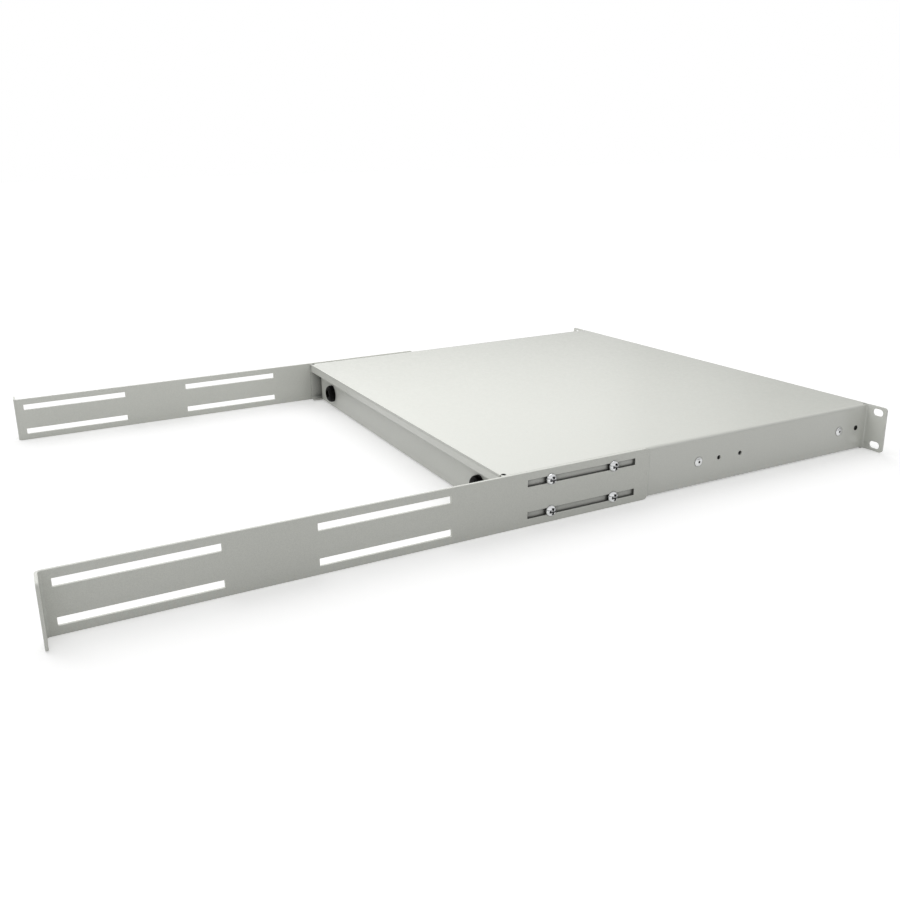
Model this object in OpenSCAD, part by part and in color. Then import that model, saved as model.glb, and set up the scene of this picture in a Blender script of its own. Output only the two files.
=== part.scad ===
// Rack keyboard drawer: a folded steel housing with rack ears, a keyboard tray
// on two three-part ball-bearing slides, and two slotted rear brackets that set
// the mounting depth.
// X runs across the rack (+X is right seen from the front), +Y runs to the rear
// and +Z is up. The origin is the centre of the front hole pattern, on the rear
// faces of the ears, where they meet the rack posts. Sizes are in millimetres.

/* [Rack] */
// Width over the two front ears
rack_w = 482.6; // [478:0.1:490]
// Distance across the rack between the two columns of holes
hole_pitch_x = 465.1; // [463:0.1:467]
// Distance between the upper and the lower hole of an ear
hole_pitch_z = 31.75; // [28:0.05:33]
// Length of a rack slot, end to end
rack_slot_len = 10.5; // [8.5:0.1:11]
// Width of a rack slot
rack_slot_w = 6.8; // [5.4:0.1:7.4]
// Radius of the outer corners of the ears and rear flanges
ear_corner_r = 3; // [1:0.1:4]

/* [Housing] */
// Width of the housing over its side walls
body_w = 442; // [430:0.5:444]
// Depth of the housing behind the ear plane
body_d = 400; // [380:1:440]
// Height of the housing
body_h = 43.4; // [43:0.1:46]
// Thickness of the housing sheet
sheet = 1.5; // [1:0.1:2]
// Inside radius of every fold in the housing
bend_r = 1.5; // [1:0.1:2]
// Width of the flanges folded in along the lower edges
bottom_flange_w = 10; // [6:0.5:11]
// Depth of the lip folded down along the rear edge of the top
rear_lip_h = 8.7; // [6:0.1:12]
// Diameter of the round relief at each rear corner
relief_d = 3; // [2:0.1:4]
// Width of the slit that leads out of each relief
relief_slit_w = 1; // [0.6:0.1:1.5]

/* [Keyboard tray] */
// Thickness of the tray sheet
tray_sheet = 1.2; // [0.8:0.1:1.5]
// Inside radius of every fold in the tray
tray_bend_r = 1.2; // [0.8:0.1:1.5]
// Height of the side walls of the tray
tray_side_h = 36; // [30:0.5:37]
// Height of the rear wall of the tray
tray_rear_h = 38; // [32:0.5:39]
// Height of the low front wall of the tray
tray_front_h = 15; // [13:0.5:17]
// Width of the hem folded in along the top of each side wall
tray_hem_w = 5; // [3.5:0.1:6]
// Distance from the rear wall of the tray to the rear of the housing
tray_rear_set = 8.8; // [6:0.1:14]
// Distance that the tray floor stays above the lower edge of the housing
tray_drop = 0.5; // [0.3:0.1:1]

/* [Drawer front] */
// Thickness of the front panel
front_t = 1.5; // [1.2:0.1:2]
// Distance that the ends of the panel stay inside the housing width
front_inset = 1; // [0.5:0.1:3]
// Gap between the closed panel and the ears
front_gap = 0.5; // [0.3:0.1:1.5]
// Distance that the top of the panel stays below the top of the housing
front_top_drop = 0.7; // [0.4:0.1:2]
// Inside radius of the folds of the finger pull
pull_bend_r = 1.5; // [1:0.1:2]
// Width of the finger pull along the lower edge
pull_w = 360; // [120:10:390]
// Reach of the finger pull in front of the panel
pull_reach = 16; // [13:0.5:20]
// Height of the upturned edge of the finger pull
pull_lip_h = 6; // [4.5:0.1:8]
// Diameter of the weld studs that hold the panel
stud_d = 4; // [3:0.1:4]
// Length of the weld studs
stud_len = 6; // [5.5:0.1:7]
// Distance from the middle of the panel to its inner studs
stud_inner_x = 60; // [40:1:90]
// Distance from the middle of the panel to its outer studs
stud_outer_x = 175; // [150:1:185]

/* [Slides] */
// Length of the outer slide members
slide_len = 250; // [240:1:270]
// Height of the slides
slide_h = 35.3; // [35:0.1:38]
// Width of a slide from the housing wall to the tray
slide_w = 12.7; // [12.5:0.1:14]
// Thickness of the slide steel
slide_sheet = 1.2; // [1:0.05:1.3]
// Inside radius of the folds of the slide members and the cages
slide_bend_r = 0.6; // [0.3:0.05:0.8]
// Distance from the ear plane to the front ends of the outer members
slide_front_y = 3; // [2:0.5:6]
// Distance that the moving members stay behind the front end
member_front_set = 2; // [1:0.5:4]
// Room behind the moving members for the closing bumper
bumper_room = 9; // [7:0.5:12]
// Diameter of the balls
ball_d = 3.2; // [3:0.1:3.3]
// Number of balls in each row
ball_count = 8; // [4:1:10]
// Length of the ball cages
cage_len = 100; // [80:1:104]
// Thickness of the cage strip
cage_t = 0.5; // [0.4:0.05:0.6]
// Distance from the cage's end to its first ball
cage_end = 5; // [3:0.5:8]
// Distance from the front ends of the moving members to the outer cages
outer_cage_set = 66; // [62:1:68]
// Distance from the front ends of the moving members to the inner cages
inner_cage_set = 70; // [67:1:73]
// Distance from an end of a slide member to its cage stops
cage_stop_set = 4; // [3:0.5:4.5]
// Length of a cage stop along its ball track
cage_stop_len = 3.5; // [3:0.1:4]
// Height of a cage stop inside its ball track
cage_stop_h = 0.9; // [0.7:0.05:1]
// Diameter of the access holes in the middle members
access_hole_d = 9; // [7:0.5:11]
// Height of the closing bumpers
bumper_h = 10; // [6:0.5:12]
// Thickness of the closing bumpers
bumper_t = 3.6; // [2.5:0.1:4.5]

/* [Rear brackets] */
// Length of a rear bracket
bracket_len = 464; // [440:1:500]
// Thickness of the bracket steel
bracket_t = 2; // [1.5:0.1:2.5]
// Inside radius of the fold of the rear flange
bracket_bend_r = 2; // [1.5:0.1:2.2]
// Distance that the brackets stand over the housing, above and below
bracket_over = 0.5; // [0.2:0.1:1]
// Radius of the front corners of a bracket
bracket_corner_r = 4; // [2:0.5:6]
// Length of the adjusting slots
adjust_slot_len = 103; // [96:1:110]
// Width of the adjusting slots
adjust_slot_w = 5.7; // [5.5:0.1:6.5]
// Number of slots in a row
adjust_slot_count = 3; // [2:1:3]
// Distance from the middle of the bracket to each row of slots
adjust_row_z = 13.1; // [12.6:0.1:14]
// Distance from the front end of a bracket to its first slot
bracket_front_margin = 14; // [10:0.5:18]
// Distance from the last slot to the rear face of the flange
bracket_rear_margin = 9; // [8:0.5:14]

/* [Fasteners] */
// Distance from the rear of the housing to the rear bracket screws
screw_rear_set = 42; // [38:0.5:46]
// Distance between the two bracket screws of a row
screw_pitch = 60; // [56:0.5:64]
// Diameter of the bracket screws
screw_d = 5; // [4.5:0.1:5.2]
// Diameter of the bracket screw heads
screw_head_d = 9.5; // [8.5:0.1:10.5]
// Height of the bracket screw heads
screw_head_h = 3.7; // [3:0.1:4.2]
// Length of the bracket screws under the head
screw_len = 9; // [8:0.1:10]
// Diameter of the clinch nuts
nut_d = 8.6; // [8:0.1:9.2]
// Height of the clinch nuts
nut_h = 4; // [3.5:0.1:4.4]
// Diameter of the rivet shanks
rivet_d = 4; // [3.6:0.1:4.2]
// Diameter of the rivet heads
rivet_head_d = 8; // [7.4:0.1:9]
// Height of the rivet heads
rivet_head_h = 1.3; // [1:0.1:1.6]
// Diameter of the opening left in each rivet head
rivet_pit_d = 2.2; // [1.6:0.1:2.6]
// Distance from the front of a slide to its front rivet
rivet_front_set = 32.4; // [28:0.1:36]
// Distance from the rear of a slide to its rear rivet
rivet_rear_set = 46.5; // [44:0.1:50]
// Diameter of the spare fixing holes in the side walls
spare_hole_d = 4; // [3.4:0.1:4.4]
// Distance from the front of a slide to the front spare hole
spare_front_set = 9.7; // [8:0.1:14]
// Distance from the rear rivet to the nearest spare hole
spare_near_set = 23.1; // [20:0.1:26]
// Distance from the rear rivet to the far spare hole
spare_far_set = 47.4; // [44:0.1:52]
// Diameter of the tray screws and their nuts' bores
tray_screw_d = 3.85; // [3.6:0.05:3.85]
// Diameter of the tray screw heads
tray_head_d = 7.8; // [7:0.1:8.4]
// Height of the tray screw heads
tray_head_h = 2.4; // [2:0.1:2.8]
// Width over the flats of the hexagon nuts
hex_nut_w = 7; // [6.6:0.1:7.4]
// Height of the hexagon nuts
hex_nut_h = 3.2; // [2.8:0.1:3.4]
// Distance from the ends of an inner member to its outer screws
tray_screw_set = 40; // [30:1:50]

/* [Cable grommets] */
// Diameter over the collars of a grommet
grommet_d = 19; // [17:0.1:21]
// Diameter of the hole in the rear wall
grommet_hole_d = 15; // [14:0.1:16]
// Diameter of the cable passage
grommet_bore_d = 9; // [8:0.1:10]
// Height of the rounded collar behind the wall
grommet_rear_h = 6.5; // [5:0.1:7.5]
// Height of the flat collar inside the tray
grommet_inner_h = 2.5; // [2:0.1:3]
// Distance from the middle of the tray to each grommet
grommet_x = 170; // [150:1:185]
// Distance of the grommets below the middle of the housing
grommet_drop = 4.5; // [3:0.1:6]

/* [Fits] */
// Clearance between a ball and its races, and around it in the cage
ball_gap = 0.05; // [0.03:0.01:0.1]
// Clearance between the slide members and the ball cages
cage_gap = 0.3; // [0.25:0.01:0.35]
// Radial clearance around a fixed shank, and under a clamping head
fit_gap = 0.05; // [0.03:0.01:0.1]
// Clearance between ends that come to rest together
stop_gap = 0.3; // [0.2:0.05:0.4]

/* [Hidden] */

// Roundness of fine and of plain circles
fine_fn = 64;
plain_fn = 40;
// How far every cutter runs past the face that it opens
cut_over = 1;

// Housing planes
half_w = body_w / 2;
half_h = body_h / 2;
setback = bend_r + sheet;
wall_in = half_w - sheet;
ear_h = body_h - 2 * fit_gap;

// Tray planes
tray_half_w = wall_in - slide_w;
tray_floor_z = tray_drop - half_h;
tray_setback = tray_bend_r + tray_sheet;
front_rear_y = -sheet - front_gap;
tray_front_y = front_rear_y;
tray_rear_y = body_d - tray_rear_set;
tray_d = tray_rear_y - tray_front_y;

// Front panel
front_h = body_h - tray_drop - front_top_drop;
pull_setback = pull_bend_r + front_t;
stud_z = tray_floor_z + tray_setback + (tray_front_h - tray_setback) / 2;

// Slide section, measured from the housing wall and from the slide's axis
ball_r = ball_d / 2;
race_r = ball_r + ball_gap;
race_out_r = race_r + slide_sheet;
outer_ball_v = slide_h / 2 - slide_sheet - race_r;
inner_ball_v = outer_ball_v - 2 * race_r - slide_sheet;
outer_cage_u = slide_sheet + cage_gap;
middle_u = outer_cage_u + cage_t + cage_gap;
inner_cage_u = middle_u + slide_sheet + cage_gap;
ball_u = inner_cage_u + cage_t + cage_gap + race_out_r;
race_lean = 60;
pad_lean = 45;
pad_half = race_r * sin(pad_lean) + slide_sheet / 2;
pad_rise = race_r * cos(pad_lean);
cage_reach = ball_u + race_out_r;

// Slide lengths
slide_rear_y = slide_front_y + slide_len;
member_y = slide_front_y + member_front_set;
member_len = slide_len - member_front_set - bumper_room;
stop_front_y = member_y + cage_stop_set;
stop_rear_y = member_y + member_len - cage_stop_set - cage_stop_len;
outer_cage_y = member_y + outer_cage_set;
inner_cage_y = member_y + inner_cage_set;
ball_pitch = (cage_len - 2 * cage_end) / (ball_count - 1);
rivet_rear_y = slide_rear_y - rivet_rear_set;
rivet_ys = [slide_front_y + rivet_front_set, rivet_rear_y];
spare_ys = [
    slide_front_y + spare_front_set,
    rivet_rear_y - spare_far_set,
    rivet_rear_y - spare_near_set
];
tray_screw_ys = [
    member_y + tray_screw_set,
    member_y + member_len / 2,
    member_y + member_len - tray_screw_set
];

// Bracket screws and adjusting slots
screw_rear_y = body_d - screw_rear_set;
screw_ys = [screw_rear_y - screw_pitch, screw_rear_y];
screw_mid_y = screw_rear_y - screw_pitch / 2;
bracket_h = body_h + 2 * bracket_over;
bracket_setback = bracket_bend_r + bracket_t;
bracket_in = half_w + fit_gap;
bracket_out = bracket_in + bracket_t;
bracket_y = screw_mid_y - adjust_slot_len / 2 - bracket_front_margin;
bracket_rear_y = bracket_y + bracket_len;
adjust_span = bracket_len - bracket_front_margin - bracket_rear_margin - adjust_slot_len;
adjust_pitch = adjust_span / (adjust_slot_count - 1);

// General shapes

// Flat strip of thickness t that follows a list of [flat length, turn], with
// true arcs of inside radius r at its right-angled turns.
module folded(runs, t, r, i = 0) {
    square([runs[i][0], t]);
    if (i + 1 < len(runs)) {
        left = runs[i][1] > 0;
        translate([runs[i][0], left ? r + t : -r]) {
            fold_arc(t, r, left);
            rotate(left ? 90 : -90)
                translate([0, left ? -(r + t) : r])
                    folded(runs, t, r, i + 1);
        }
    }
}

// Quarter ring of one fold.
module fold_arc(t, r, left) {
    intersection() {
        difference() {
            circle(r = r + t, $fn = fine_fn);
            circle(r = r, $fn = fine_fn);
        }
        translate([0, left ? -(r + t) : 0])
            square([r + t, r + t]);
    }
}

// Carries a section drawn in X and Z along Y.
module along_y(y, length) {
    translate([0, y + length, 0])
        rotate([90, 0, 0])
            linear_extrude(length)
                children();
}

// Carries a section drawn in Y and Z along X.
module along_x(x, length) {
    translate([x, 0, 0])
        rotate([90, 0, 90])
            linear_extrude(length)
                children();
}

// Rectangle about the origin with rounded corners.
module rounded_plate(size, r) {
    square([size[0] - 2 * r, size[1]], center = true);
    square([size[0], size[1] - 2 * r], center = true);
    for (x = [-1, 1], y = [-1, 1])
        translate([x * (size[0] / 2 - r), y * (size[1] / 2 - r)])
            circle(r = r, $fn = fine_fn);
}

// Flat piece of the given arc around the origin, between two radii.
module ring_arc(r_in, r_out, from, to) {
    span = to - from;
    intersection() {
        difference() {
            circle(r = r_out, $fn = fine_fn);
            circle(r = r_in, $fn = fine_fn);
        }
        polygon([
            [0, 0],
            for (i = [0 : 2]) 2 * r_out * [cos(from + i * span / 2), sin(from + i * span / 2)]
        ]);
    }
}

// Left-hand piece, or its mirror image for the right-hand side.
module on_side(side) {
    if (side == "right") mirror([1, 0, 0]) children();
    else children();
}

// Cylinder along X that starts at x and runs towards the middle of the part.
module x_pin(x, y, z, r, h) {
    translate([x, y, z])
        rotate([0, 90, 0])
            cylinder(r = r, h = h, $fn = plain_fn);
}

// Pair of obround rack slots cut through a plate that lies across Y.
module rack_slots(y, t) {
    for (z = [-1, 1])
        translate([-hole_pitch_x / 2, y - cut_over, z * hole_pitch_z / 2])
            rotate([-90, 0, 0])
                linear_extrude(t + 2 * cut_over) {
                    square([rack_slot_len - rack_slot_w, rack_slot_w], center = true);
                    for (x = [-1, 1])
                        translate([x * (rack_slot_len - rack_slot_w) / 2, 0])
                            circle(d = rack_slot_w, $fn = fine_fn);
                }
}

// Domed screw head of diameter d and height h with a cross recess. Its seat is
// at the origin and it rises along -X.
module cross_head(d, h) {
    dome_r = (d * d / 4 + h * h) / (2 * h);
    recess_w = d / 7;
    recess_len = d / 2;
    rotate([0, -90, 0])
        difference() {
            intersection() {
                cylinder(d = d, h = h, $fn = fine_fn);
                translate([0, 0, h - dome_r])
                    sphere(r = dome_r, $fn = fine_fn);
            }
            for (turn = [0, 90])
                rotate(turn + 45)
                    translate([-recess_len / 2, -recess_w / 2, h / 2])
                        cube([recess_len, recess_w, h]);
        }
}

// Housing

// Top, side walls and lower flanges as one folded section.
module shell_section() {
    flange_flat = bottom_flange_w - setback;
    wall_flat = body_h - 2 * setback;
    translate([bottom_flange_w - half_w, sheet - half_h])
        rotate(180)
            folded([
                [flange_flat, -90], [wall_flat, -90], [body_w - 2 * setback, -90],
                [wall_flat, -90], [flange_flat, 0]
            ], sheet, bend_r);
}

// Ear and the fold that joins it to the left side wall, seen from above.
module ear_section() {
    translate([-half_w, setback])
        rotate(-90)
            folded([[sheet, -90], [rack_w / 2 - half_w - bend_r, 0]], sheet, bend_r);
}

// Left ear with its rounded outer corners and rack slots.
module left_ear() {
    ear_w = rack_w / 2 - half_w;
    difference() {
        translate([0, 0, -ear_h / 2])
            linear_extrude(ear_h)
                ear_section();
        rack_slots(-sheet, sheet);
        // Outer corners
        for (z = [-1, 1])
            translate([-rack_w / 2, -sheet - cut_over, z * ear_h / 2])
                rotate([-90, 0, 0])
                    linear_extrude(sheet + 2 * cut_over)
                        corner_cut(ear_corner_r, z);
    }
}

// What a rounded corner of radius r takes off a square one that points to -X.
module corner_cut(r, z) {
    difference() {
        translate([-cut_over, z > 0 ? -cut_over : -r])
            square([r + cut_over, r + cut_over]);
        translate([r, z > 0 ? r : -r])
            circle(r = r, $fn = fine_fn);
    }
}

// Rear edge of the top: a fold and the short lip below it.
module rear_lip() {
    lip_half = half_w - setback - relief_d / 2;
    along_x(-lip_half, 2 * lip_half)
        translate([body_d - 2 * setback, half_h - sheet])
            folded([[setback, -90], [rear_lip_h - setback, 0]], sheet, bend_r);
}

module housing_shell() {
    relief_x = half_w - setback - relief_d / 2;
    color([0.76, 0.77, 0.75])
        difference() {
            union() {
                along_y(setback, body_d - setback)
                    shell_section();
                // Front edge of the top, between the folds of the ears
                translate([-half_w + setback, -sheet, half_h - sheet])
                    cube([body_w - 2 * setback, sheet + setback + cut_over, sheet]);
                rear_lip();
                for (side = ["left", "right"])
                    on_side(side) left_ear();
            }
            // Reliefs at the rear corners, each with a slit to the rear edge
            for (x = [-1, 1]) {
                translate([x * relief_x, body_d - setback, half_h - setback])
                    cylinder(d = relief_d, h = setback + cut_over, $fn = plain_fn);
                translate([x * relief_x - relief_slit_w / 2, body_d - setback, half_h - setback])
                    cube([relief_slit_w, setback + cut_over, setback + cut_over]);
            }
            for (side = ["left", "right"])
                on_side(side) wall_holes();
        }
}

// Every hole through the left side wall.
module wall_holes() {
    for (y = rivet_ys)
        x_pin(-half_w - cut_over, y, 0, rivet_d / 2 + fit_gap, sheet + 2 * cut_over);
    for (y = spare_ys)
        x_pin(-half_w - cut_over, y, 0, spare_hole_d / 2, sheet + 2 * cut_over);
    for (y = screw_ys, z = [-adjust_row_z, adjust_row_z])
        x_pin(-half_w - cut_over, y, z, screw_d / 2 + fit_gap, sheet + 2 * cut_over);
}

// Fasteners of the housing

module bracket_screws(side) {
    color("silver")
        on_side(side)
            for (y = screw_ys, z = [-adjust_row_z, adjust_row_z])
                translate([-bracket_out - fit_gap, y, z]) {
                    cross_head(screw_head_d, screw_head_h);
                    x_pin(0, 0, 0, screw_d / 2, screw_len);
                }
}

module clinch_nuts(side) {
    color("lightgray")
        on_side(side)
            for (y = screw_ys, z = [-adjust_row_z, adjust_row_z])
                difference() {
                    x_pin(-wall_in, y, z, nut_d / 2, nut_h);
                    x_pin(-wall_in - cut_over, y, z, screw_d / 2 + fit_gap, nut_h + 2 * cut_over);
                }
}

// Rivets with a domed outer head and an inner end set flush in the slide.
module slide_rivets(side) {
    dome_r = (rivet_head_d * rivet_head_d / 4 + rivet_head_h * rivet_head_h) / (2 * rivet_head_h);
    color("silver")
        on_side(side)
            for (y = rivet_ys)
                translate([-half_w, y, 0])
                    rotate([0, 90, 0])
                        difference() {
                            union() {
                                intersection() {
                                    translate([0, 0, -rivet_head_h])
                                        cylinder(d = rivet_head_d, h = rivet_head_h, $fn = fine_fn);
                                    translate([0, 0, dome_r - rivet_head_h])
                                        sphere(r = dome_r, $fn = fine_fn);
                                }
                                cylinder(d = rivet_d, h = sheet + slide_sheet, $fn = plain_fn);
                            }
                            translate([0, 0, -rivet_head_h - cut_over])
                                cylinder(d = rivet_pit_d, h = rivet_head_h + sheet + cut_over, $fn = plain_fn);
                        }
}

// Slides, drawn from the left wall of the housing inwards

// Places a slide section on the left wall and carries it along Y.
module slide_run(side, y, length) {
    on_side(side)
        translate([-wall_in, 0, 0])
            along_y(y, length)
                children();
}

// Channel of the given outside height, open towards +X, with its web at x = 0.
module channel(depth, height, t) {
    corner = slide_bend_r + t;
    translate([depth, t - height / 2])
        rotate(180)
            folded([[depth - corner, -90], [height - 2 * corner, -90], [depth - corner, 0]],
                t, slide_bend_r);
}

module outer_section() {
    channel(ball_u, slide_h, slide_sheet);
    for (end = [-1, 1])
        translate([ball_u, end * outer_ball_v])
            ring_arc(race_r, race_out_r, end * 90 - race_lean, end * 90 + race_lean);
}

module middle_section() {
    top = outer_ball_v - race_r;
    pad_v = (outer_ball_v + inner_ball_v) / 2;
    difference() {
        union() {
            translate([middle_u, 0])
                channel(ball_u - middle_u, 2 * top, slide_sheet);
            for (end = [-1, 1])
                translate([ball_u, end * pad_v])
                    square([2 * pad_half, outer_ball_v - inner_ball_v - 2 * pad_rise], center = true);
        }
        for (end = [-1, 1], v = [outer_ball_v, inner_ball_v])
            translate([ball_u, end * v])
                circle(r = race_r, $fn = fine_fn);
    }
}

module inner_section() {
    translate([slide_w, 0])
        rotate(180)
            channel(slide_w - ball_u, 2 * (inner_ball_v - race_r), slide_sheet);
    for (end = [-1, 1])
        translate([ball_u, end * inner_ball_v])
            ring_arc(race_r, race_out_r, -end * 90 - race_lean, -end * 90 + race_lean);
}

// Dimples pressed into both tracks of a member, which keep the balls from running
// out. v is the tracks' place. out is 1 for dimples in the walls away from the
// slide's axis and -1 for those in the walls next to it.
module cage_stops(side, y, v, out) {
    half = race_r * sin(pad_lean);
    slide_run(side, y, cage_stop_len)
        for (end = [-1, 1])
            translate([ball_u, end * v])
                rotate(90 - out * end * 90)
                    intersection() {
                        circle(r = race_r + slide_sheet / 2, $fn = fine_fn);
                        translate([-half, race_r - cage_stop_h])
                            square([2 * half, cage_stop_h + slide_sheet]);
                    }
}

module slide_outer(side) {
    color("gainsboro")
        difference() {
            union() {
                slide_run(side, slide_front_y, slide_len)
                    outer_section();
                cage_stops(side, slide_front_y + cage_stop_set, outer_ball_v, 1);
            }
            on_side(side) {
                for (y = rivet_ys)
                    x_pin(-wall_in - cut_over, y, 0, rivet_d / 2 + fit_gap, slide_sheet + 2 * cut_over);
                for (y = spare_ys)
                    x_pin(-wall_in - cut_over, y, 0, spare_hole_d / 2, slide_sheet + 2 * cut_over);
            }
        }
}

module slide_middle(side) {
    color("gainsboro") {
        difference() {
            slide_run(side, member_y, member_len)
                middle_section();
            // Access to the rivets of the outer member
            on_side(side)
                for (y = rivet_ys)
                    x_pin(middle_u - wall_in - cage_gap, y, 0, access_hole_d / 2,
                        slide_sheet + 2 * cage_gap);
        }
        cage_stops(side, stop_front_y, inner_ball_v, 1);
        cage_stops(side, stop_rear_y, outer_ball_v, -1);
    }
}

module slide_inner(side) {
    color("gainsboro") {
        difference() {
            slide_run(side, member_y, member_len)
                inner_section();
            on_side(side)
                for (y = tray_screw_ys)
                    x_pin(-tray_half_w - slide_sheet - cut_over, y, 0, tray_screw_d / 2 + fit_gap,
                        slide_sheet + 2 * cut_over);
        }
        cage_stops(side, stop_rear_y, inner_ball_v, -1);
    }
}

// Folded strip that keeps two rows of balls apart; u is its web's place.
module ball_cage(side, y, u, v) {
    color("darkgray")
        difference() {
            slide_run(side, y, cage_len)
                translate([u, 0])
                    channel(cage_reach - u, 2 * v + cage_t, cage_t);
            on_side(side)
                for (i = [0 : ball_count - 1], z = [-v, v])
                    translate([ball_u - wall_in, y + cage_end + i * ball_pitch, z - cage_t])
                        cylinder(r = race_r, h = 2 * cage_t, $fn = plain_fn);
        }
}

module ball_rows(side, y, v) {
    color("white")
        on_side(side)
            for (i = [0 : ball_count - 1], z = [-v, v])
                translate([ball_u - wall_in, y + cage_end + i * ball_pitch, z])
                    sphere(r = ball_r, $fn = plain_fn);
}

// Block at the rear end of the outer member that the moving members close on.
module slide_bumper(side) {
    length = bumper_room - stop_gap;
    color([0.1, 0.1, 0.1])
        on_side(side)
            translate([slide_sheet - wall_in, slide_rear_y - length / 2, 0])
                rotate([0, 90, 0])
                    linear_extrude(bumper_t)
                        rounded_plate([bumper_h, length], bumper_h / 5);
}

// Rear brackets

module rear_bracket(side) {
    flange_w = rack_w / 2 - bracket_in;
    color([0.72, 0.73, 0.71])
        on_side(side)
            difference() {
                translate([-bracket_out, bracket_y, -bracket_h / 2])
                    linear_extrude(bracket_h)
                        bracket_section(flange_w);
                bracket_slots();
                bracket_corners();
                rack_slots(bracket_rear_y - bracket_t, bracket_t);
            }
}

// Long plate and outward flange, seen from above.
module bracket_section(flange_w) {
    translate([bracket_t, 0])
        rotate(90)
            folded([[bracket_len - bracket_setback, 90], [flange_w - bracket_setback, 0]],
                bracket_t, bracket_bend_r);
}

module bracket_slots() {
    for (i = [0 : adjust_slot_count - 1], z = [-1, 1])
        translate([
            -bracket_out - cut_over,
            bracket_y + bracket_front_margin + i * adjust_pitch,
            z * adjust_row_z - adjust_slot_w / 2
        ])
            cube([bracket_t + 2 * cut_over, adjust_slot_len, adjust_slot_w]);
}

// Rounds the two front corners and the two outer corners of the flange.
module bracket_corners() {
    for (z = [-1, 1]) {
        translate([-bracket_out - cut_over, bracket_y, z * bracket_h / 2])
            rotate([90, 0, 90])
                linear_extrude(bracket_t + 2 * cut_over)
                    corner_cut(bracket_corner_r, -z);
        translate([-rack_w / 2, bracket_rear_y - bracket_t - cut_over, z * bracket_h / 2])
            rotate([-90, 0, 0])
                linear_extrude(bracket_t + 2 * cut_over)
                    corner_cut(ear_corner_r, z);
    }
}

// Drawer

// Floor, side walls and their hems as one folded section.
module tray_section() {
    translate([tray_hem_w - tray_half_w, tray_floor_z + tray_side_h])
        rotate(180)
            folded([
                [tray_hem_w - tray_setback, 90],
                [tray_side_h - 2 * tray_setback, 90],
                [2 * (tray_half_w - tray_setback), 90],
                [tray_side_h - 2 * tray_setback, 90],
                [tray_hem_w - tray_setback, 0]
            ], tray_sheet, tray_bend_r);
}

// Low front wall, floor and rear wall as one folded section.
module tray_ends() {
    translate([tray_front_y, tray_floor_z + tray_front_h])
        rotate(-90)
            folded([
                [tray_front_h - tray_setback, 90],
                [tray_d - 2 * tray_setback, 90],
                [tray_rear_h - tray_setback, 0]
            ], tray_sheet, tray_bend_r);
}

module drawer_tray() {
    end_w = tray_half_w - tray_setback;
    butt = tray_sheet + stop_gap;
    color([0.75, 0.76, 0.74])
        difference() {
            union() {
                along_y(tray_front_y + tray_setback, tray_d - 2 * tray_setback)
                    tray_section();
                along_x(-end_w, 2 * end_w)
                    tray_ends();
                // Rear wall over the full width, and side walls up to the end walls
                translate([-tray_half_w, tray_rear_y - tray_sheet, tray_floor_z + tray_setback])
                    cube([2 * tray_half_w, tray_sheet, tray_rear_h - tray_setback]);
                for (x = [-tray_half_w, tray_half_w - tray_sheet])
                    translate([x, tray_front_y + butt, tray_floor_z + tray_setback])
                        cube([tray_sheet, tray_d - 2 * butt, tray_side_h - 2 * tray_setback]);
            }
            for (x = [-grommet_x, grommet_x])
                translate([x, tray_rear_y - tray_sheet - cut_over, -grommet_drop])
                    rotate([-90, 0, 0])
                        cylinder(d = grommet_hole_d, h = tray_sheet + 2 * cut_over, $fn = fine_fn);
            for (side = ["left", "right"])
                on_side(side)
                    for (y = tray_screw_ys)
                        x_pin(-tray_half_w - cut_over, y, 0, tray_screw_d / 2 + fit_gap,
                            tray_sheet + 2 * cut_over);
            studs(stud_d / 2 + fit_gap, tray_front_y - cut_over, tray_sheet + 2 * cut_over);
        }
}

// Row of cylinders along Y at the places of the weld studs.
module studs(r, y, length) {
    for (x = [-stud_outer_x, -stud_inner_x, stud_inner_x, stud_outer_x])
        translate([x, y, stud_z])
            rotate([-90, 0, 0])
                cylinder(r = r, h = length, $fn = plain_fn);
}

// Front panel with a folded finger pull along its lower edge.
module drawer_front() {
    panel_w = body_w - 2 * front_inset;
    top_z = tray_floor_z + front_h;
    color([0.77, 0.78, 0.76]) {
        along_x(-pull_w / 2, pull_w)
            translate([front_rear_y - front_t, top_z])
                rotate(-90)
                    folded([
                        [front_h - pull_setback, -90],
                        [pull_reach - 2 * pull_setback, -90],
                        [pull_lip_h - pull_setback, 0]
                    ], front_t, pull_bend_r);
        // Panel ends, with rounded corners
        for (side = ["left", "right"])
            on_side(side)
                panel_end(panel_w, top_z);
        studs(stud_d / 2, front_rear_y, stud_len);
    }
}

module panel_end(panel_w, top_z) {
    end_w = (panel_w - pull_w) / 2;
    mid_z = top_z - front_h / 2;
    difference() {
        translate([-panel_w / 2, front_rear_y - front_t, top_z - front_h])
            cube([end_w, front_t, front_h]);
        for (z = [-1, 1])
            translate([-panel_w / 2, front_rear_y - front_t - cut_over, mid_z + z * front_h / 2])
                rotate([-90, 0, 0])
                    linear_extrude(front_t + 2 * cut_over)
                        corner_cut(ear_corner_r, z);
    }
}

// Hexagon nut for a given thread, with its bore along Z, seated at the origin.
module hex_nut(thread_d) {
    difference() {
        cylinder(d = hex_nut_w / cos(30), h = hex_nut_h, $fn = 6);
        translate([0, 0, -cut_over])
            cylinder(d = thread_d + 2 * fit_gap, h = hex_nut_h + 2 * cut_over, $fn = plain_fn);
    }
}

module front_nuts() {
    color("silver")
        for (x = [-stud_outer_x, -stud_inner_x, stud_inner_x, stud_outer_x])
            translate([x, tray_front_y + tray_sheet, stud_z])
                rotate([-90, 0, 0])
                    hex_nut(stud_d);
}

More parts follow.
